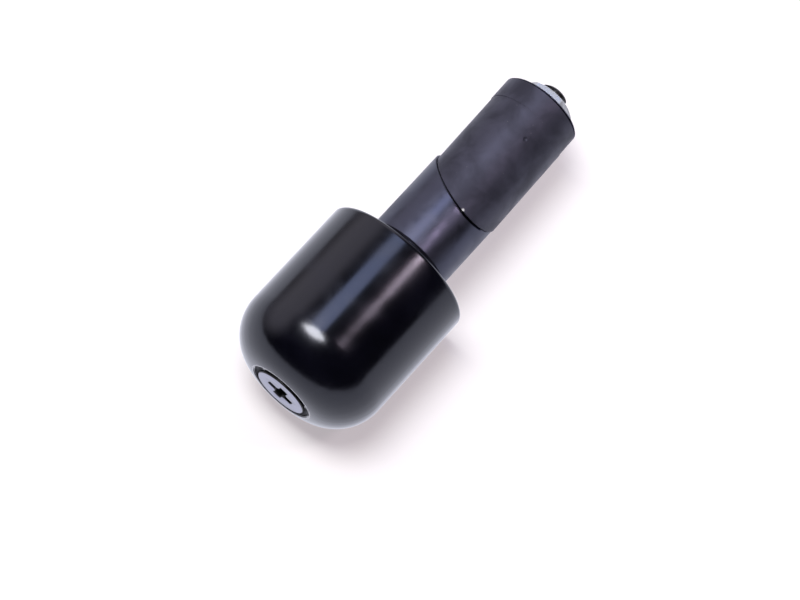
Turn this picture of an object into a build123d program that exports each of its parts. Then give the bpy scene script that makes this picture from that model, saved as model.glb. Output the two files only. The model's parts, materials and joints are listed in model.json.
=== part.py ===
from build123d import *
from math import cos, pi, radians, sin, sqrt, tan
import os

# A handlebar end weight. A turned barrel closes the end of the bar. Behind it a stem reaches into the bar:
# a sleeve with a slanted end and a wedge with the matching slant. One long countersunk screw runs through
# everything into a nut held in the wedge's tail, and tightening it draws the wedge along the slant until
# the stem grips the bar.
# The frame is the end of the bar: origin at the centre of the barrel's back face, +X out of the bar to the
# nose, +Z up. All sizes are in millimetres.

# Barrel
weight_d = 31.2
weight_length = 33.6
nose_radius = 10.0
rear_edge_radius = 0.8
mouth_depth = 1.1
mouth_edge_chamfer = 0.25

# Clamp screw, metric, countersunk, with a cross recess
thread_d = 6.0
tip_chamfer = 0.5
head_d = 11.0
head_land = 0.5
head_edge_chamfer = 0.15
head_cone_angle = 90.0
head_proud = 0.15
recess_span = 6.0
recess_wing = 1.8
recess_core_d = 3.2
recess_depth = 2.8
recess_draft = 26.5
recess_core_draft = 6.0
recess_clock = 22.0

# Stem sleeve
stem_d = 17.35
groove_width = 2.4
spigot_d = 11.0
spigot_depth = 3.0
shoulder_chamfer = 0.3
cut_distance = 19.6
cut_angle = 35.0
cut_clock = 33.0
cut_edge_chamfer = 0.15

# Expander wedge
wedge_length = 23.2
wedge_rest_shift = 0.15
wedge_travel = 1.5
wedge_lean = 1.05
tail_drift = 0.15
tail_land_length = 5.0
tail_land_shift = 0.1
tail_edge_chamfer = 0.3
rim_nick_d = 0.8
rim_nick_clock = 57.0
gate_mark_d = 1.0
gate_mark_depth = 0.2
gate_mark_from_tail = 10.1
gate_mark_clock = 25.5

# Hex nut
hex_sides = 6
nut_across_flats = 10.0
nut_thickness = 5.0
nut_proud = 2.6
nut_chamfer_angle = 30.0
nut_face_ratio = 0.94
nut_bore_chamfer = 0.4
tip_proud = 1.8

# Clearances and the stock left for sawing
mouth_gap = 1.1
wedge_slack = 0.165
saw_margin = 1.0
screw_clearance = 0.35
head_seat_gap = 0.06
spigot_clearance = 0.05
cut_gap = 0.05
thread_clearance = 0.05
pocket_clearance = 0.15
nut_seat_gap = 0.05

# Radii, and places along the bar's axis. The mouth's rim lies where its wall meets the rounded nose.
weight_r = weight_d / 2
screw_r = thread_d / 2
screw_hole_r = screw_r + screw_clearance
head_r = head_d / 2
mouth_r = head_r + mouth_gap
stem_r = stem_d / 2
wedge_r = stem_r - wedge_slack
mouth_past_crown = max(0, mouth_r - (weight_r - nose_radius))
mouth_rim_x = weight_length - nose_radius + sqrt(nose_radius**2 - mouth_past_crown**2)
head_face_x = mouth_rim_x + head_proud
tail_x = -(cut_distance + wedge_length)
nut_outer_x = tail_x - nut_proud
tip_x = nut_outer_x - tip_proud
pocket_depth = nut_thickness - nut_proud + nut_seat_gap

# The slant: its uphill direction across the bar, the plane of the cut, and planes that face along the bar
uphill = Vector(0, sin(radians(cut_clock)), cos(radians(cut_clock)))
across = Vector(0, cos(radians(cut_clock)), -sin(radians(cut_clock)))
cut_normal = Vector(1, 0, 0) * cos(radians(cut_angle)) - uphill * sin(radians(cut_angle))
cut_plane = Plane(origin=(-cut_distance, 0, 0), z_dir=cut_normal)
wedge_axis = uphill * wedge_rest_shift
tail_plane = Plane(origin=Vector(tail_x, 0, 0) + wedge_axis, x_dir=uphill, z_dir=(1, 0, 0))
body_plane = Plane(
    origin=Vector(tail_x, 0, 0) + wedge_axis - across * tail_drift,
    x_dir=uphill,
    z_dir=Vector(1, 0, 0) + across * tan(radians(wedge_lean)),
)
nut_plane = Plane(origin=(nut_outer_x, 0, 0), x_dir=uphill, z_dir=(1, 0, 0))


# Barrel: turned outline, then the stepped bore from the spigot's seat to the countersink and its mouth
mouth_floor_x = mouth_rim_x - mouth_depth
cone_tangent = tan(radians(head_cone_angle / 2))
land_start_x = head_face_x - head_land
seat_r = head_r + head_seat_gap


def seat_x(radius):
    """Where the countersunk seat in the nose has this radius."""
    return land_start_x - (seat_r - radius) / cone_tangent


with BuildPart() as weight_body:
    with BuildSketch(Plane.XY) as barrel_outline:
        with Locations((weight_length / 2, weight_r / 2)):
            Rectangle(weight_length, weight_r)
        outer_corners = barrel_outline.vertices().group_by(Axis.Y)[-1].sort_by(Axis.X)
        fillet(outer_corners[-1], nose_radius)
        outer_corners = barrel_outline.vertices().group_by(Axis.Y)[-1].sort_by(Axis.X)
        fillet(outer_corners[0], rear_edge_radius)
    revolve(axis=Axis.X)
    with BuildSketch(Plane.XY):
        with BuildLine():
            Polyline(
                (0, 0),
                (0, spigot_d / 2 + spigot_clearance),
                (spigot_depth, spigot_d / 2 + spigot_clearance),
                (spigot_depth, screw_hole_r),
                (seat_x(screw_hole_r), screw_hole_r),
                (mouth_floor_x, seat_r - (land_start_x - mouth_floor_x) * cone_tangent),
                (mouth_floor_x, mouth_r),
                (weight_length, mouth_r),
                (weight_length, 0),
                close=True,
            )
        make_face()
    revolve(axis=Axis.X, mode=Mode.SUBTRACT)
    mouth_wall = weight_body.faces().filter_by(GeomType.CYLINDER).sort_by(Axis.X)[-1]
    chamfer(mouth_wall.edges().sort_by(Axis.X)[-1], mouth_edge_chamfer)
weight_body.part.label = "weight_body"


# Cross recess: four wings trimmed by a cone, around a tapered core
recess_plane = Plane(
    origin=(head_face_x, 0, 0),
    x_dir=(0, sin(radians(recess_clock)), cos(radians(recess_clock))),
    z_dir=(-1, 0, 0),
)
recess_shrink = recess_depth * tan(radians(recess_draft))
with BuildPart() as cross_recess:
    with BuildSketch(recess_plane):
        Rectangle(recess_span, recess_wing)
        Rectangle(recess_wing, recess_span)
    extrude(amount=recess_depth)
    with BuildSketch(recess_plane):
        Circle(recess_span / 2)
    with BuildSketch(recess_plane.offset(recess_depth)):
        Circle(recess_span / 2 - recess_shrink)
    loft(mode=Mode.INTERSECT)
    with BuildSketch(recess_plane):
        Circle(recess_core_d / 2)
    extrude(amount=recess_depth, taper=recess_core_draft)


# Clamp screw: turned profile from the tip to the countersunk head
cone_start_x = land_start_x - (head_r - screw_r) / cone_tangent
with BuildPart() as clamp_screw:
    with BuildSketch(Plane.XY):
        with BuildLine():
            Polyline(
                (tip_x, 0),
                (tip_x, screw_r - tip_chamfer),
                (tip_x + tip_chamfer, screw_r),
                (cone_start_x, screw_r),
                (land_start_x, head_r),
                (head_face_x - head_edge_chamfer, head_r),
                (head_face_x, head_r - head_edge_chamfer),
                (head_face_x, 0),
                close=True,
            )
        make_face()
    revolve(axis=Axis.X)
    add(cross_recess.part, mode=Mode.SUBTRACT)
clamp_screw.part.label = "clamp_screw"


# Stem sleeve: spigot, full-size body and slanted end, bored for the screw
stem_blank_x = -(cut_distance + stem_r * tan(radians(cut_angle)) + saw_margin)
with BuildPart() as stem_sleeve:
    with BuildSketch(Plane.XY):
        with BuildLine():
            Polyline(
                (spigot_depth, screw_hole_r),
                (spigot_depth, spigot_d / 2),
                (-groove_width, spigot_d / 2),
                (-groove_width, stem_r - shoulder_chamfer),
                (-groove_width - shoulder_chamfer, stem_r),
                (stem_blank_x, stem_r),
                (stem_blank_x, screw_hole_r),
                close=True,
            )
        make_face()
    revolve(axis=Axis.X)
    split(bisect_by=cut_plane, keep=Keep.TOP)
    slant_rim = stem_sleeve.edges().filter_by(GeomType.ELLIPSE).sort_by(SortBy.LENGTH)[-1]
    chamfer(slant_rim, cut_edge_chamfer)
stem_sleeve.part.label = "stem_sleeve"


# Expander wedge: a body cut to the slant, with room for the screw and the nut to shift. Its outside leans a little
# against its bore, and its tail land stands a little off the body, where two mould halves met.
wedge_rise = (wedge_r + wedge_rest_shift) * tan(radians(cut_angle))
wedge_blank_length = wedge_length + wedge_rise + saw_margin
nut_pocket_apothem = nut_across_flats / 2 + pocket_clearance
gate_ball_r = (gate_mark_d**2 / 4 + gate_mark_depth**2) / (2 * gate_mark_depth)
gate_mark_plane = Plane(
    origin=body_plane.from_local_coords((0, 0, gate_mark_from_tail)),
    x_dir=(1, 0, 0),
    z_dir=(0, sin(radians(gate_mark_clock)), cos(radians(gate_mark_clock))),
)
rim_nick_plane = Plane(
    origin=body_plane.from_local_coords((0, tail_land_shift, 0)),
    x_dir=(1, 0, 0),
    z_dir=(0, sin(radians(rim_nick_clock)), cos(radians(rim_nick_clock))),
)
with BuildPart() as expander_wedge:
    with BuildSketch(body_plane):
        with Locations((0, tail_land_shift)):
            Circle(wedge_r)
    extrude(amount=tail_land_length)
    with BuildSketch(body_plane.offset(tail_land_length)):
        Circle(wedge_r)
    extrude(amount=wedge_blank_length - tail_land_length)
    split(bisect_by=cut_plane.offset(-cut_gap), keep=Keep.BOTTOM)
    slant_rim = expander_wedge.edges().filter_by(GeomType.ELLIPSE).sort_by(SortBy.LENGTH)[-1]
    chamfer(slant_rim, cut_edge_chamfer)
    tail_rim = expander_wedge.edges().filter_by(GeomType.CIRCLE).group_by(Axis.X)[0]
    chamfer(tail_rim, tail_edge_chamfer)
    with BuildSketch(tail_plane.offset(-saw_margin)):
        with Locations((-wedge_travel / 2, 0)):
            SlotCenterToCenter(wedge_travel, 2 * screw_hole_r)
    extrude(amount=saw_margin + wedge_blank_length, mode=Mode.SUBTRACT)
    with BuildSketch(tail_plane.offset(-saw_margin)):
        with Locations((0, 0), (-wedge_travel, 0)):
            RegularPolygon(nut_pocket_apothem, hex_sides, major_radius=False)
        make_hull()
    extrude(amount=saw_margin + pocket_depth, mode=Mode.SUBTRACT)
    with Locations(gate_mark_plane.offset(wedge_r + gate_ball_r - gate_mark_depth)):
        Sphere(gate_ball_r, mode=Mode.SUBTRACT)
    with Locations(rim_nick_plane.offset(wedge_r)):
        Sphere(rim_nick_d / 2, mode=Mode.SUBTRACT)
expander_wedge.part.label = "expander_wedge"


# Hex nut: prism with both faces turned down to a cone, two flats along the slide
nut_corner_r = nut_across_flats / 2 / cos(pi / hex_sides)
nut_face_r = nut_across_flats / 2 * nut_face_ratio
nut_bevel = (nut_corner_r - nut_face_r) * tan(radians(nut_chamfer_angle))
nut_bore_r = screw_r + thread_clearance
nut_inner_x = nut_outer_x + nut_thickness
with BuildPart() as hex_nut:
    with BuildSketch(nut_plane):
        RegularPolygon(nut_across_flats / 2, hex_sides, major_radius=False)
    extrude(amount=nut_thickness)
    with BuildSketch(Plane.XY):
        with BuildLine():
            Polyline(
                (nut_outer_x, nut_bore_r + nut_bore_chamfer),
                (nut_outer_x, nut_face_r),
                (nut_outer_x + nut_bevel, nut_corner_r),
                (nut_inner_x - nut_bevel, nut_corner_r),
                (nut_inner_x, nut_face_r),
                (nut_inner_x, nut_bore_r + nut_bore_chamfer),
                (nut_inner_x - nut_bore_chamfer, nut_bore_r),
                (nut_outer_x + nut_bore_chamfer, nut_bore_r),
                close=True,
            )
        make_face()
    revolve(axis=Axis.X, mode=Mode.INTERSECT)
hex_nut.part.label = "hex_nut"


os.makedirs("parts", exist_ok=True)
export_step(weight_body.part, "parts/weight_body.step")
export_step(clamp_screw.part, "parts/clamp_screw.step")
export_step(stem_sleeve.part, "parts/stem_sleeve.step")
export_step(expander_wedge.part, "parts/expander_wedge.step")
export_step(hex_nut.part, "parts/hex_nut.step")

print(f"screw length {head_face_x - tip_x:.2f}, overall {head_face_x - tip_x:.2f} by {weight_d:.2f}")
print(f"slide direction {cos(radians(cut_angle)) * uphill + Vector(sin(radians(cut_angle)), 0, 0)}")
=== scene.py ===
# %% [markdown]
# # Dressing a handlebar end weight
# The part closes the open end of a motorbike's handlebar. A heavy black barrel with a rounded nose sits
# outside the bar. A stem in two halves reaches inside it, and a long screw pulls the halves together
# until they jam. The solids come ready made, at their real size and place, so this lesson is about what
# the solids don't have: a camera, a light that flatters black metal, the finish of each piece and a screw
# thread. The first step loads those solids and keeps the size of the box that they fill.

# %% Load the solids
import json
from math import cos, pi, radians, sin

import bmesh
import bpy
from mathutils import Matrix, Vector


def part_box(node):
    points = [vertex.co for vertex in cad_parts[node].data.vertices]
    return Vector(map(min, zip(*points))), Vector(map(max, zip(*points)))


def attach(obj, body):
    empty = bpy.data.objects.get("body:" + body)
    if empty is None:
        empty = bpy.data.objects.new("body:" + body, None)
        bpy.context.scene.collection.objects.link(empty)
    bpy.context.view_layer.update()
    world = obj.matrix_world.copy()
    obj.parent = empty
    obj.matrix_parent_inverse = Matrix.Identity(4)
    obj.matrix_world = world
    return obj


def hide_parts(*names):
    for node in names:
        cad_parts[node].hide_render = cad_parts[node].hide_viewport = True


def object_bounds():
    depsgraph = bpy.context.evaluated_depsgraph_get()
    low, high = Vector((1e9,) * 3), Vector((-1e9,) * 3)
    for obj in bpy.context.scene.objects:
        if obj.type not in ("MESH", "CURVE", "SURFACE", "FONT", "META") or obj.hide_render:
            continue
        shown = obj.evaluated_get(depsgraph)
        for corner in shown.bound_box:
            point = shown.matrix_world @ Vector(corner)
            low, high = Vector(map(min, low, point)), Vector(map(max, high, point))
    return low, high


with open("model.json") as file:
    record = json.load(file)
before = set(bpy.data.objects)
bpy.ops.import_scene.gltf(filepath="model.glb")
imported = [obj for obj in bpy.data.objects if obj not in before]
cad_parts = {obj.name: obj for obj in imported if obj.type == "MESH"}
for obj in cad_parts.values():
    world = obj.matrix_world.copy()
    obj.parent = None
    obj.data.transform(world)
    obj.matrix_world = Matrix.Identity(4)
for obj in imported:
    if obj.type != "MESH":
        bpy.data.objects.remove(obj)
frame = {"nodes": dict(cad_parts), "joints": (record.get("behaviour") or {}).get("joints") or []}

MM = 0.001
solid_low, solid_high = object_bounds()
for name in sorted(frame["nodes"]):
    low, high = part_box(name)
    print(name, "fills", [round(v / MM, 1) for v in high - low], "mm")

# %% [markdown]
# ## The camera
# The photograph looks steeply down on the part, with the nose towards the lower left. A camera can be
# placed by typing six numbers, but a turn, a height and a distance are easier to read and to change. The
# lens is long, because a short one would swell the nose. With the world's up as the only guide for its
# roll, the camera stays level.

# %% Place the camera
VIEW_AZIMUTH = radians(130.23)
VIEW_ELEVATION = radians(67.12)
VIEW_DISTANCE = 524.1 * MM
AIM_POINT = Vector((5.19, 4.86, 0.0)) * MM
LENS_MM = 126.0
SENSOR_MM = 36.0


def direction(azimuth, elevation):
    """A unit vector. Azimuth 0 points along -Y and grows towards +X, and elevation is above the floor."""
    return Vector((sin(azimuth) * cos(elevation), -cos(azimuth) * cos(elevation), sin(elevation)))


camera_data = bpy.data.cameras.new("portrait_camera")
camera_data.lens = LENS_MM
camera_data.sensor_width = SENSOR_MM
camera_data.clip_start = 10 * MM
camera = bpy.data.objects.new("portrait_camera", camera_data)
bpy.context.scene.collection.objects.link(camera)
towards_camera = direction(VIEW_AZIMUTH, VIEW_ELEVATION)
camera.location = AIM_POINT + VIEW_DISTANCE * towards_camera
camera.rotation_mode = "QUATERNION"
camera.rotation_quaternion = (-towards_camera).to_track_quat("-Z", "Y")
bpy.context.scene.camera = camera
bpy.context.scene.view_settings.view_transform = "Standard"
print("camera at", [round(v / MM, 1) for v in camera.location], "mm")

# %% [markdown]
# ## Small helpers for shader nodes
# Every finish below is a graph of shader nodes. Written out in full, each node takes a line to make it, a
# line for each value and a line for each link. One helper does all three: a value that is itself a socket
# becomes a link, and anything else is typed into the socket. The others wrap the nodes that come up most
# often.

# %% Helpers for single nodes


def add(tree, kind, values=None, **settings):
    """Add a node, set its properties, and fill its inputs with values or with links from other sockets."""
    made = tree.nodes.new(kind)
    for key, value in settings.items():
        setattr(made, key, value)
    for socket, value in (values or {}).items():
        if isinstance(value, bpy.types.NodeSocket):
            tree.links.new(value, made.inputs[socket])
        else:
            made.inputs[socket].default_value = value
    return made


def maths(tree, operation, first, second=0.0):
    """The result of one Math node."""
    return add(tree, "ShaderNodeMath", {0: first, 1: second}, operation=operation).outputs["Value"]


def vector_value(tree, operation, first, second=(0.0, 0.0, 0.0)):
    """The number that one Vector Math node measures, such as a length or a distance."""
    return add(tree, "ShaderNodeVectorMath", {0: first, 1: second}, operation=operation).outputs["Value"]


def remap(tree, value, low, high, to_low=0.0, to_high=1.0):
    """A value eased from one range into another, and held at the ends."""
    values = {"Value": value, "From Min": low, "From Max": high, "To Min": to_low, "To Max": to_high}
    return add(tree, "ShaderNodeMapRange", values, interpolation_type="SMOOTHSTEP").outputs["Result"]


def mix_colours(tree, factor, first, second):
    """One colour at factor 0, another at 1. A Mix node repeats its sockets' names, so they go by number."""
    colour_sockets = {0: factor, 6: first, 7: second}
    return add(tree, "ShaderNodeMix", colour_sockets, data_type="RGBA").outputs[2]


def own_place(tree):
    """Where a point of the surface lies, in the piece's own coordinates."""
    return add(tree, "ShaderNodeTexCoord").outputs["Object"]


def grey(level, blue=1.0):
    """A neutral colour, with a little more or less blue."""
    return (level, level, level * blue, 1.0)


print("node helpers ready")

# %% [markdown]
# ## The table
# The part lies on a white table, and nothing of the table's edge can be seen. A flat square is enough for
# it. It lies at the height of the part's lowest point, which the box of the solids gives, and it is far
# larger than the view.

# %% Make the table top
FLOOR_SIZE = 6.0

half = FLOOR_SIZE / 2
corners = ((-half, -half), (half, -half), (half, half), (-half, half))
floor_mesh = bpy.data.meshes.new("table_top")
floor_mesh.from_pydata([(x, y, solid_low.z) for x, y in corners], [], [(0, 1, 2, 3)])
table_top = bpy.data.objects.new("table_top", floor_mesh)
bpy.context.scene.collection.objects.link(table_top)
print("table top at", round(solid_low.z / MM, 2), "mm")

# %% [markdown]
# ## The table's white
# The photograph shows the table as pure white, with one soft, faintly pink shadow. A white floor in a
# render is only as white as its light, and more light would bleach the black metal. So the floor's shader
# mixes a plain diffuse white, which takes the shadow, with a share of its own glow, which lifts it to
# paper white. The Light Path node tells who is looking. The camera gets under half of the glow near the
# part, and all of it far away. Reflections get more of it, in a cooler white, since black gloss is drawn
# by what it mirrors. Light that bounces from the floor on to the part gets none.

# %% Paint the table top
FLOOR_GLOW_SHARE = 0.44
MIRRORED_GLOW_SHARE = 0.9
FLOOR_GLOW = (1.0, 0.915, 0.965, 1.0)
PAPER_WHITE = (1.0, 1.0, 1.0, 1.0)
MIRRORED_WHITE = (0.84, 0.86, 1.0, 1.0)
FLOOR_PAPER = (0.99, 0.99, 0.99, 1.0)
FAR_FROM, FAR_TO = 0.2, 0.5

table_white = bpy.data.materials.new("table_white")
table_white.use_nodes = True
tree = table_white.node_tree
tree.nodes.clear()
path = add(tree, "ShaderNodeLightPath").outputs
reach = vector_value(tree, "LENGTH", own_place(tree))
far = maths(tree, "MULTIPLY", remap(tree, reach, FAR_FROM, FAR_TO), path["Is Camera Ray"])
seen = maths(tree, "MAXIMUM", path["Is Camera Ray"], path["Is Transmission Ray"])
near = maths(tree, "MULTIPLY", seen, FLOOR_GLOW_SHARE)
mirrored = maths(tree, "MULTIPLY", path["Is Glossy Ray"], MIRRORED_GLOW_SHARE)
share = maths(tree, "MAXIMUM", maths(tree, "MAXIMUM", near, far), mirrored)
seen_tone = mix_colours(tree, far, FLOOR_GLOW, PAPER_WHITE)
tone = mix_colours(tree, path["Is Glossy Ray"], seen_tone, MIRRORED_WHITE)
paper = add(tree, "ShaderNodeBsdfDiffuse", {"Color": FLOOR_PAPER}).outputs["BSDF"]
glow = add(tree, "ShaderNodeEmission", {"Color": tone, "Strength": 1.0}).outputs["Emission"]
mixed = add(tree, "ShaderNodeMixShader", {0: share, 1: paper, 2: glow}).outputs["Shader"]
add(tree, "ShaderNodeOutputMaterial", {"Surface": mixed})
floor_mesh.materials.append(table_white)
print("table glows", FLOOR_GLOW_SHARE, "for the camera and", MIRRORED_GLOW_SHARE, "in reflections")

# %% [markdown]
# ## The light
# Gloss black is drawn by what it reflects, so the lamps are placed by the marks that they leave in the
# photograph. A hot spot where the barrel turns into the nose says that a white lamp hangs almost
# overhead. The blue streak that runs back from the spot is a dimmer, cooler lamp beside it. A rosy glint
# on the back rim, with a faint streak running forward from it, says that a small, warmer lamp stands
# behind and to the right. The right flank and the nose are nearly black, so nothing stands there. Each
# lamp is given by its direction and by how bright its face looks, and its power follows from its area.

# %% Hang the lamps
LAMP_DISTANCE = 0.9


def soft_lamp(name, towards, along, across, brightness, colour):
    """An oval lamp that faces the part, sized along and across the bar. Brightness 1 is a white face."""
    data = bpy.data.lights.new(name, "AREA")
    data.shape = "ELLIPSE"
    data.size = along
    data.size_y = across
    data.energy = brightness * pi * (pi / 4 * along * across)
    data.color = colour
    lamp = bpy.data.objects.new(name, data)
    bpy.context.scene.collection.objects.link(lamp)
    away = Vector(towards).normalized()
    side = (Vector((1, 0, 0)) - away.x * away).normalized()
    turned = Matrix((side, away.cross(side), away)).transposed().to_4x4()
    lamp.matrix_world = Matrix.Translation(away * LAMP_DISTANCE) @ turned
    print(name, "power", round(data.energy, 2), "W")


soft_lamp("overhead_lamp", (0.03, -0.105, 0.99), 0.29, 0.52, 21.0, (1.0, 0.99, 0.98))
soft_lamp("cool_lamp", (-0.23, -0.13, 0.965), 0.30, 0.34, 3.3, (0.54, 0.64, 1.0))
soft_lamp("rosy_lamp", (-0.36, 0.490, 0.794), 0.07, 0.17, 46.0, (1.0, 0.82, 0.90))

# %% [markdown]
# ## The room
# The left flanks of the barrel and of the stem are grey, and the grey fades evenly towards the top. No
# lamp does that as well as a wall does, so the world is a dim room with one pale wall, a little dimmer at
# its foot. The direction of each ray, which the Generated coordinate gives in a world, says how far it
# points to the wall and how high. The camera itself sees white there, like the rest of the backdrop.

# %% Paint the room
ROOM_DIM = 0.02
WALL_PALE = 0.92
WALL_TINT = (0.98, 0.92, 1.0, 1.0)
WALL_SIDE = (-0.45, -0.89, 0.0)
WALL_EDGE = (0.1, 0.7)
WALL_TOP = (0.95, 0.62)
WALL_FOOT = (0.0, 0.5)
WALL_FOOT_SHARE = 0.35

world = bpy.data.worlds.new("dim_room")
bpy.context.scene.world = world
world.use_nodes = True
tree = world.node_tree
tree.nodes.clear()
ray = add(tree, "ShaderNodeTexCoord").outputs["Generated"]
sideways = vector_value(tree, "DOT_PRODUCT", ray, WALL_SIDE)
height = add(tree, "ShaderNodeSeparateXYZ", {"Vector": ray}).outputs["Z"]
panel = maths(tree, "MULTIPLY", remap(tree, sideways, *WALL_EDGE), remap(tree, height, *WALL_TOP))
wall = maths(tree, "MULTIPLY", panel, remap(tree, height, *WALL_FOOT, WALL_FOOT_SHARE, 1.0))
lit = remap(tree, wall, 0.0, 1.0, ROOM_DIM, WALL_PALE)
seen = add(tree, "ShaderNodeLightPath").outputs["Is Camera Ray"]
tint = mix_colours(tree, seen, WALL_TINT, PAPER_WHITE)
strength = maths(tree, "MAXIMUM", lit, seen)
room = add(tree, "ShaderNodeBackground", {"Color": tint, "Strength": strength}).outputs["Background"]
add(tree, "ShaderNodeOutputWorld", {"Surface": room})
print("room at", ROOM_DIM, "with a wall at", WALL_PALE)

# %% [markdown]
# ## Node groups
# A node group is Blender's way to build an effect once and to use it in several materials with different
# values. Its sockets are made on the group's interface, and the nodes inside see them through a Group
# Input and a Group Output. Two helpers do that: one starts a group, the other places it in a material and
# sets its values by name.

# %% Helpers for node groups


def start_group(name, inputs, outputs):
    """A shader node group with named number sockets. Returns its tree, input sockets and output node."""
    tree = bpy.data.node_groups.new(name, "ShaderNodeTree")
    for label, value in inputs.items():
        socket = tree.interface.new_socket(name=label, in_out="INPUT", socket_type="NodeSocketFloat")
        socket.default_value = value
    for label in outputs:
        tree.interface.new_socket(name=label, in_out="OUTPUT", socket_type="NodeSocketFloat")
    return tree, tree.nodes.new("NodeGroupInput").outputs, tree.nodes.new("NodeGroupOutput")


def place_group(tree, group, **values):
    """Put a group into a material with its own values, and return its outputs."""
    named = {label.replace("_", " ").capitalize(): value for label, value in values.items()}
    return add(tree, "ShaderNodeGroup", named, node_tree=group).outputs


print("group helpers ready")

# %% [markdown]
# ## Effects that several finishes share
# Real black parts are never evenly black. Hands leave faint smudges that change the gloss, coatings and
# mouldings have a fine grain, and dust settles everywhere. Both the smudges and the grain are noise, at
# scales of millimetres and of tenths of a millimetre. Dust is made of cells: a speck shows where the
# middle of a cell lies in the surface. All of them read the solid's own coordinates, in metres, so a mark
# stays on the piece when the piece moves.

# %% Smudges, grain and dust
# Noise keeps close to its middle, so the contrast of the smudges is raised by this much.
NOISE_GAIN = 4.0


def smudges_group():
    """Soft patches from handling, from 0 to 1."""
    sockets = {"Patch size": 6 * MM, "Contrast": 0.5}
    tree, inputs, output = start_group("Handling smudges", sockets, ["Smudge"])
    scale = maths(tree, "DIVIDE", 1.0, inputs["Patch size"])
    look = {"Vector": own_place(tree), "Scale": scale, "Detail": 3.0, "Distortion": 0.4}
    noise = add(tree, "ShaderNodeTexNoise", look).outputs["Fac"]
    centred = maths(tree, "SUBTRACT", noise, 0.5)
    wide = maths(tree, "MULTIPLY", centred, maths(tree, "MULTIPLY", inputs["Contrast"], NOISE_GAIN))
    result = add(tree, "ShaderNodeMath", {0: wide, 1: 0.5}, operation="ADD", use_clamp=True)
    tree.links.new(result.outputs["Value"], output.inputs["Smudge"])
    return tree


def grain_group():
    """Fine irregular grain of a coating or a moulding, as a height from 0 to 1."""
    tree, inputs, output = start_group("Fine grain", {"Grain size": 0.4 * MM}, ["Height"])
    scale = maths(tree, "DIVIDE", 1.0, inputs["Grain size"])
    look = {"Vector": own_place(tree), "Scale": scale, "Detail": 2.0, "Roughness": 0.6}
    noise = add(tree, "ShaderNodeTexNoise", look).outputs["Fac"]
    tree.links.new(noise, output.inputs["Height"])
    return tree


def specks_group():
    """Sparse specks of dust, from 0 to 1."""
    sockets = {"Spacing": 1.5 * MM, "Radius": 0.07 * MM}
    tree, inputs, output = start_group("Dust specks", sockets, ["Speck"])
    scale = maths(tree, "DIVIDE", 1.0, inputs["Spacing"])
    look = {"Vector": own_place(tree), "Scale": scale}
    cells = add(tree, "ShaderNodeTexVoronoi", look).outputs["Distance"]
    edge = maths(tree, "DIVIDE", inputs["Radius"], inputs["Spacing"])
    tree.links.new(remap(tree, cells, edge, 0.0), output.inputs["Speck"])
    return tree


handling_smudges = smudges_group()
fine_grain = grain_group()
dust_specks = specks_group()
print("groups:", handling_smudges.name, "and", fine_grain.name, "and", dust_specks.name)

# %% [markdown]
# ## Steps along the axis
# Edges and ends differ from the middle: a lip gets a painted highlight, a tip is black, a rim gets painted
# shade. Everything here lies along one axis, so a soft step at a station along X is enough to tell such a
# place from the rest.

# %% Steps along the axis


def step_group():
    """0 before a station along the part's axis, 1 past it, with a soft step between."""
    tree, inputs, output = start_group("Step along the axis", {"Station": 0.0, "Width": 1 * MM}, ["Past"])
    x = add(tree, "ShaderNodeSeparateXYZ", {"Vector": own_place(tree)}).outputs["X"]
    end = maths(tree, "ADD", inputs["Station"], inputs["Width"])
    tree.links.new(remap(tree, x, inputs["Station"], end), output.inputs["Past"])
    return tree


station_step = step_group()
print("group:", station_step.name)

# %% [markdown]
# ## A start for every finish
# Each finish starts as an empty material with one Principled shader, which covers most real surfaces. A
# grain goes in as a bump: it tilts the light and leaves the mesh alone, since a grain of a few tenths of
# a millimetre would need millions of faces.

# %% Helpers for materials


def start_material(name):
    """A material with only a Principled shader. Returns the material, its tree and the shader."""
    material = bpy.data.materials.new(name)
    material.use_nodes = True
    tree = material.node_tree
    tree.nodes.clear()
    shader = tree.nodes.new("ShaderNodeBsdfPrincipled")
    add(tree, "ShaderNodeOutputMaterial", {"Surface": shader.outputs["BSDF"]})
    return material, tree, shader


def bumped(tree, shader, height, depth):
    """Press a height from 0 to 1 into the surface, to a depth in metres."""
    bump = add(tree, "ShaderNodeBump", {"Height": height, "Distance": depth, "Strength": 1.0})
    tree.links.new(bump.outputs["Normal"], shader.inputs["Normal"])


print("material helpers ready")

# %% [markdown]
# ## The barrel's coating
# The barrel is steel under a smooth black coating with a satin shine. One sharp gloss would look like wet
# paint, and one rough gloss like rubber. So the black is satin where it is seen face on, which softens
# the lamps into streaks, and its gloss sharpens towards the edges, where the Layer Weight node finds the
# surface turning away. A thin clear layer of low IOR brightens those edges further and leaves the middle
# dark. The lip of the mouth round the screw's head gets a painted highlight, a thin pale line in the base
# colour.

# %% Barrel coating
MOUTH_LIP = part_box("weight_body")[1].x
LIP_LINE = 0.06 * MM
EDGE_FROM, EDGE_TO = 0.45, 0.85
EDGE_ROUGHNESS = 0.05


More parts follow.
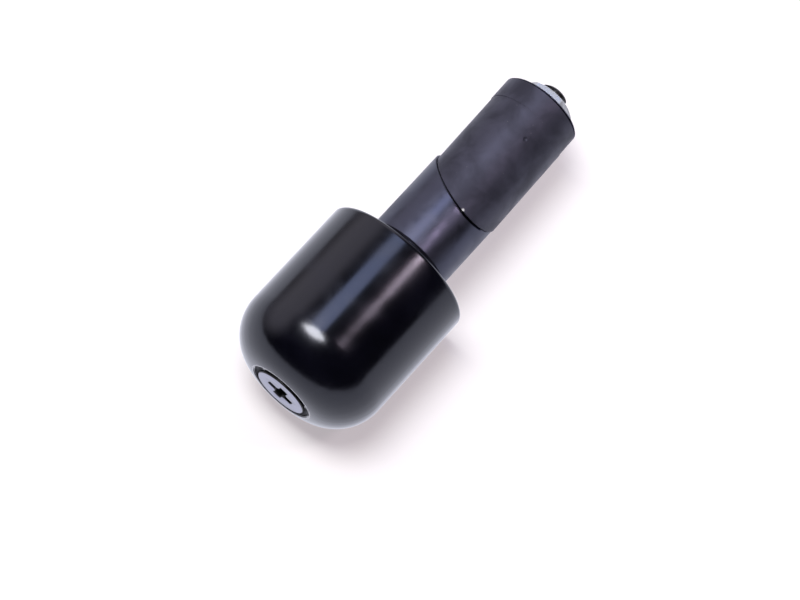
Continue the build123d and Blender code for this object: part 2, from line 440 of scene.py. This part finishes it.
def barrel_coating_material():
    material, tree, shader = start_material("barrel_coating")
    smudge = place_group(tree, handling_smudges, patch_size=8 * MM, contrast=0.8)["Smudge"]
    grain = place_group(tree, fine_grain, grain_size=0.5 * MM)["Height"]
    speck = place_group(tree, dust_specks, spacing=2.2 * MM, radius=0.06 * MM)["Speck"]
    # A painted highlight: a thin pale line on the mouth's lip, in the base colour.
    lip = place_group(tree, station_step, station=MOUTH_LIP - LIP_LINE, width=LIP_LINE / 2)["Past"]
    black = mix_colours(tree, smudge, grey(0.0008, 3.0), grey(0.0016, 3.0))
    dusty = mix_colours(tree, speck, black, grey(0.12))
    tree.links.new(mix_colours(tree, lip, dusty, grey(0.35, 1.1)), shader.inputs["Base Color"])
    satin = remap(tree, smudge, 0.0, 1.0, 0.15, 0.25)
    facing = add(tree, "ShaderNodeLayerWeight", {"Blend": 0.5}).outputs["Facing"]
    sharpened = remap(tree, facing, EDGE_FROM, EDGE_TO, satin, EDGE_ROUGHNESS)
    tree.links.new(sharpened, shader.inputs["Roughness"])
    shader.inputs["IOR"].default_value = 1.5
    shader.inputs["Specular Tint"].default_value = (0.76, 0.79, 0.92, 1.0)
    shader.inputs["Coat Weight"].default_value = 1.0
    shader.inputs["Coat Roughness"].default_value = 0.14
    shader.inputs["Coat IOR"].default_value = 1.22
    bumped(tree, shader, grain, 0.0006 * MM)
    return material


barrel_coating = barrel_coating_material()
print("made", barrel_coating.name)

# %% [markdown]
# ## The open seam
# The real seam across the stem gapes a little on one side, and that gap lies in black shade. The solids
# meet evenly, so the shade is painted: the slanted lip of the front half is darkened on that side. A
# mask for it needs the distance to the slanted cut, which is the dot product with the cut's normal, and
# the normal follows from the direction in which the wedge slides.

# %% Mask of the seam
CUT_STATION = -19.6 * MM
SEAM_LIP = (0.42 * MM, 0.22 * MM)
SEAM_START = (0.5 * MM, 4.5 * MM)
SEAM_END = (8.2 * MM, 7.9 * MM)
SEAM_TOP = (0.0, 1.0 * MM)

slide = Vector(next(joint["axis"] for joint in frame["joints"] if joint["name"] == "wedge_slide"))
uphill = Vector((0, slide.y, slide.z)).normalized()
cut_normal = Vector((1, 0, 0)) * slide.dot(uphill) - uphill * slide.x


def painted_seam_shade(tree):
    """Painted shade of the open seam, on the sleeve's lip, from 0 to 1."""
    place = own_place(tree)
    _, y, z = add(tree, "ShaderNodeSeparateXYZ", {"Vector": place}).outputs
    along = vector_value(tree, "DOT_PRODUCT", place, cut_normal)
    from_cut = maths(tree, "SUBTRACT", along, CUT_STATION * cut_normal.x)
    right = maths(tree, "MULTIPLY", remap(tree, y, *SEAM_START), remap(tree, y, *SEAM_END))
    lip = maths(tree, "MULTIPLY", remap(tree, from_cut, *SEAM_LIP), right)
    return maths(tree, "MULTIPLY", lip, remap(tree, z, *SEAM_TOP))


print("the slanted cut faces", [round(v, 3) for v in cut_normal])

# %% [markdown]
# ## The sleeve's black
# The front half of the stem is a smooth satin moulding, with a stronger shine than common plastic, so its
# IOR is raised. A black surface that is set to metal mirrors nothing when it is seen face on. The painted
# shade of the seam uses that for a deeper black than a moulding has.

# %% Sleeve black


def stem_black_material():
    material, tree, shader = start_material("stem_black")
    smudge = place_group(tree, handling_smudges, patch_size=5 * MM, contrast=0.8)["Smudge"]
    grain = place_group(tree, fine_grain, grain_size=0.25 * MM)["Height"]
    speck = place_group(tree, dust_specks, spacing=1.8 * MM, radius=0.07 * MM)["Speck"]
    # Painted shade: the lip beside the open gap is darkened to near-black metal.
    seam = painted_seam_shade(tree)
    black = mix_colours(tree, smudge, grey(0.003, 1.4), grey(0.009, 1.4))
    dusty = mix_colours(tree, speck, black, grey(0.15))
    tree.links.new(mix_colours(tree, seam, dusty, grey(0.001)), shader.inputs["Base Color"])
    tree.links.new(seam, shader.inputs["Metallic"])
    tree.links.new(remap(tree, smudge, 0.0, 1.0, 0.31, 0.45), shader.inputs["Roughness"])
    shader.inputs["IOR"].default_value = 1.9
    shader.inputs["Specular Tint"].default_value = (0.66, 0.69, 1.0, 1.0)
    bumped(tree, shader, grain, 0.002 * MM)
    return material


stem_black = stem_black_material()
print("made", stem_black.name)

# %% [markdown]
# ## The wedge's black
# The rear half of the stem is the same black but duller, with a cloudy surface and a faint sheen, as a
# worn moulding has. The same groups serve it, with a coarser grain and paler clouds. Its tail ends in a
# thin rim of painted shade, made as the seam's painted shade was, and the tip of its slanted lip has one
# painted highlight: a small ball of pale colour about a point of the surface.

# %% Wedge black
WEDGE_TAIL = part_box("expander_wedge")[0].x
RIM_LENGTH = 0.62 * MM
GLINT_PLACE = Vector((-13.9, 4.12, 7.57)) * MM
GLINT_RADIUS = 0.45 * MM


def painted_lip_glint(tree):
    """One small painted highlight at the tip of the wedge's lip, from 0 to 1."""
    gap = vector_value(tree, "DISTANCE", own_place(tree), GLINT_PLACE)
    return remap(tree, gap, GLINT_RADIUS, 0.0)


def wedge_black_material():
    material, tree, shader = start_material("wedge_black")
    smudge = place_group(tree, handling_smudges, patch_size=5 * MM, contrast=0.8)["Smudge"]
    grain = place_group(tree, fine_grain, grain_size=0.3 * MM)["Height"]
    speck = place_group(tree, dust_specks, spacing=1.4 * MM, radius=0.08 * MM)["Speck"]
    # Painted shade: a thin near-black rim at the tail.
    past_rim = place_group(tree, station_step, station=WEDGE_TAIL + RIM_LENGTH, width=0.15 * MM)["Past"]
    black = mix_colours(tree, smudge, grey(0.010, 1.45), grey(0.030, 1.45))
    dusty = mix_colours(tree, speck, black, grey(0.16))
    rim_shaded = mix_colours(tree, past_rim, grey(0.002), dusty)
    # A painted highlight: the glint at the tip of the slanted lip.
    tree.links.new(mix_colours(tree, painted_lip_glint(tree), rim_shaded, grey(0.8)), shader.inputs["Base Color"])
    tree.links.new(maths(tree, "SUBTRACT", 1.0, past_rim), shader.inputs["Metallic"])
    tree.links.new(remap(tree, smudge, 0.0, 1.0, 0.58, 0.46), shader.inputs["Roughness"])
    shader.inputs["IOR"].default_value = 1.55
    shader.inputs["Specular Tint"].default_value = (0.72, 0.72, 1.0, 1.0)
    shader.inputs["Sheen Weight"].default_value = 0.2
    shader.inputs["Sheen Roughness"].default_value = 0.35
    shader.inputs["Sheen Tint"].default_value = (0.85, 0.85, 1.0, 1.0)
    bumped(tree, shader, grain, 0.004 * MM)
    return material


wedge_black = wedge_black_material()
print("made", wedge_black.name)

# %% [markdown]
# ## The screw's steel
# The face of the screw's head is satin grey steel with faint rings from the turning tool. Its cross
# recess and its side, sunk in the barrel's mouth, are painted black as shade, and the very tip of the
# screw is black too. Steps along the axis tell the grey steel from the black, and the same mask says where
# the surface is metal, because the colour of a metal only tints what it mirrors. The rings are noise along
# the axis and the radius, so that they run round the sides and the faces alike.

# %% Screw steel
SCREW_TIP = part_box("clamp_screw")[0].x
HEAD_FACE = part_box("clamp_screw")[1].x
HEAD_SKIN = 0.03 * MM
HEAD_LENGTH = 6 * MM
BLACK_TIP = 0.85 * MM
RING_SPACING = 0.25 * MM


def lathe_rings(tree):
    """Rings left by a turning tool, on round sides and on end faces alike, as a height from 0 to 1."""
    x, y, z = add(tree, "ShaderNodeSeparateXYZ", {"Vector": own_place(tree)}).outputs
    squares = maths(tree, "ADD", maths(tree, "POWER", y, 2.0), maths(tree, "POWER", z, 2.0))
    radius = maths(tree, "SQRT", squares)
    along = maths(tree, "DIVIDE", maths(tree, "ADD", x, radius), RING_SPACING)
    look = {"W": along, "Scale": 1.0, "Detail": 2.0}
    return add(tree, "ShaderNodeTexNoise", look, noise_dimensions="1D").outputs["Fac"]


def screw_steel_material():
    material, tree, shader = start_material("screw_steel")
    smudge = place_group(tree, handling_smudges, patch_size=2.5 * MM, contrast=0.6)["Smudge"]
    face = place_group(tree, station_step, station=HEAD_FACE - HEAD_SKIN, width=0.02 * MM)["Past"]
    past_tip = place_group(tree, station_step, station=SCREW_TIP + BLACK_TIP, width=0.05 * MM)["Past"]
    under_head = place_group(tree, station_step, station=HEAD_FACE - HEAD_LENGTH, width=0.5 * MM)["Past"]
    # Black below the face is painted shade on the head's side and cross recess; the tip's last 0.85 mm is
    # black too.
    grey_steel = maths(tree, "ADD", face, maths(tree, "SUBTRACT", past_tip, under_head))
    satin = mix_colours(tree, smudge, grey(0.42, 1.16), grey(0.50, 1.16))
    tree.links.new(mix_colours(tree, grey_steel, grey(0.006), satin), shader.inputs["Base Color"])
    tree.links.new(grey_steel, shader.inputs["Metallic"])
    tree.links.new(remap(tree, smudge, 0.0, 1.0, 0.30, 0.40), shader.inputs["Roughness"])
    bumped(tree, shader, lathe_rings(tree), 0.002 * MM)
    return material


screw_steel = screw_steel_material()
print("made", screw_steel.name)

# %% [markdown]
# ## The nut's zinc
# The nut is bright zinc plate. It is metal all over, so a smudge can only show as a change of brightness
# and of gloss. Plating leaves no rings and no direction, so the even grain serves here, pressed in less
# than on the black pieces.

# %% Nut zinc


def nut_zinc_material():
    material, tree, shader = start_material("nut_zinc")
    smudge = place_group(tree, handling_smudges, patch_size=1.8 * MM, contrast=0.9)["Smudge"]
    grain = place_group(tree, fine_grain, grain_size=0.2 * MM)["Height"]
    tree.links.new(mix_colours(tree, smudge, grey(0.36), grey(0.60)), shader.inputs["Base Color"])
    tree.links.new(remap(tree, smudge, 0.0, 1.0, 0.34, 0.25), shader.inputs["Roughness"])
    shader.inputs["Metallic"].default_value = 1.0
    bumped(tree, shader, grain, 0.0003 * MM)
    return material


nut_zinc = nut_zinc_material()
print("made", nut_zinc.name)

# %% [markdown]
# ## The screw's thread
# In the solid the screw's shank is plain. A thread is one groove that climbs as it turns, so it can be
# woven as a grid: columns go round the shank, rows follow the groove's profile, and each column starts a
# little further along than the last. After one turn the shift is exactly one pitch, so the last column
# meets the first, one profile further on. The profile fades out where the thread ends, and the tip is
# chamfered.

# %% Points of the thread
PITCH = 1.0 * MM
THREAD_R = 3.0 * MM
THREAD_DEPTH = 0.61 * MM
THREAD_SEGMENTS = 60
# Each corner of the groove's profile: how far along the pitch it lies, and the share of the depth that it
# is sunk.
THREAD_PROFILE = ((0.0, 0.0), (0.125, 0.0), (0.4375, 1.0), (0.6875, 1.0))
THREAD_END = -19.0 * MM
FADE_LENGTH = 2.0 * MM
TIP_CHAMFER = 0.5 * MM
LEAST_R = THREAD_R / 2


def thread_point(row, column):
    """One corner of the woven grid."""
    turn, station = divmod(row, len(THREAD_PROFILE))
    offset, sunk = THREAD_PROFILE[station]
    x = SCREW_TIP + PITCH * (turn - 1 + offset + column / THREAD_SEGMENTS)
    fade = min(max((THREAD_END - PITCH - x) / FADE_LENGTH, 0.0), 1.0)
    chamfered = max(THREAD_R - TIP_CHAMFER + x - SCREW_TIP, LEAST_R)
    radius = min(THREAD_R - THREAD_DEPTH * sunk * fade, chamfered)
    angle = 2 * pi * column / THREAD_SEGMENTS
    return x, radius * cos(angle), radius * sin(angle)


print("thread of", round((THREAD_END - SCREW_TIP) / PITCH), "turns")

# %% [markdown]
# ## Weave and trim
# The woven grid is longer than the thread at both ends, because its ends are slanted. Flat cuts trim
# them, and a face closes the tip. The end towards the head stays open, to be joined in the next step.

# %% Weave the thread
JOIN_LENGTH = 0.3 * MM
TOUCHING = 0.001 * MM


def cut_flat(mesh, x, **side):
    """Cut a mesh square to the axis at x, and clear one side."""
    everything = mesh.verts[:] + mesh.edges[:] + mesh.faces[:]
    bmesh.ops.bisect_plane(mesh, geom=everything, plane_co=(x, 0, 0), plane_no=(1, 0, 0), **side)


def woven_thread():
    """The threaded end of the screw, closed at its tip and open towards the head."""
    thread = bmesh.new()
    shift = len(THREAD_PROFILE)
    rows = shift * (round((THREAD_END - SCREW_TIP) / PITCH) + 2)
    grid = [[thread.verts.new(thread_point(r, c)) for r in range(rows)] for c in range(THREAD_SEGMENTS)]
    for column in range(THREAD_SEGMENTS):
        last = column == THREAD_SEGMENTS - 1
        near = grid[column]
        far = grid[0][shift:] if last else grid[column + 1]
        for row in range(len(far) - 1):
            thread.faces.new((near[row], near[row + 1], far[row + 1], far[row]))
    cut_flat(thread, SCREW_TIP, clear_inner=True)
    cut_flat(thread, THREAD_END - JOIN_LENGTH, clear_outer=True)
    open_edges = [e for e in thread.edges if e.is_boundary]
    tip_edges = [e for e in open_edges if all(abs(v.co.x - SCREW_TIP) < TOUCHING for v in e.verts)]
    bmesh.ops.edgeloop_fill(thread, edges=tip_edges)
    mesh = bpy.data.meshes.new("woven_thread")
    thread.to_mesh(mesh)
    thread.free()
    return mesh


thread_mesh = woven_thread()
print("woven thread:", len(thread_mesh.polygons), "faces")

# %% [markdown]
# ## Join the thread to the head
# The solid screw is cut where the thread ends, and its head's part is bridged to the woven thread. The
# result is one closed mesh, which the count of open edges confirms. It rides on the same body as the
# solid screw and stands in for it.

# %% Join the thread to the head
SHARP_ANGLE = radians(30)


def threaded_screw_mesh(solid, thread):
    """The solid screw with its shank's far part swapped for the woven thread."""
    screw = bmesh.new()
    screw.from_mesh(solid.data)
    bmesh.ops.remove_doubles(screw, verts=screw.verts, dist=2 * TOUCHING)
    cut_flat(screw, THREAD_END, clear_inner=True)
    screw.from_mesh(thread)
    bpy.data.meshes.remove(thread)
    bmesh.ops.bridge_loops(screw, edges=[e for e in screw.edges if e.is_boundary])
    bmesh.ops.recalc_face_normals(screw, faces=screw.faces[:])
    mesh = bpy.data.meshes.new("threaded_screw")
    screw.to_mesh(mesh)
    open_edges = sum(e.is_boundary for e in screw.edges)
    print("threaded screw:", len(mesh.polygons), "faces,", open_edges, "open edges")
    screw.free()
    mesh.shade_smooth()
    mesh.set_sharp_from_angle(angle=SHARP_ANGLE)
    return mesh


screw_mesh = threaded_screw_mesh(frame["nodes"]["clamp_screw"], thread_mesh)
threaded_screw = bpy.data.objects.new("threaded_screw", screw_mesh)
bpy.context.scene.collection.objects.link(threaded_screw)
threaded_screw.data.materials.append(screw_steel)
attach(threaded_screw, "screw")
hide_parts("clamp_screw")

# %% [markdown]
# ## Dress the solids
# The barrel, the sleeve, the wedge and the nut already have the right form. Each keeps its mesh and only
# changes its material, so it stays exactly where the frame put it.

# %% Dress the solids
finishes = {
    "weight_body": barrel_coating,
    "stem_sleeve": stem_black,
    "expander_wedge": wedge_black,
    "hex_nut": nut_zinc,
}
for name, material in finishes.items():
    mesh = frame["nodes"][name].data
    mesh.materials.clear()
    mesh.materials.append(material)
print("dressed", ", ".join(sorted(finishes)))
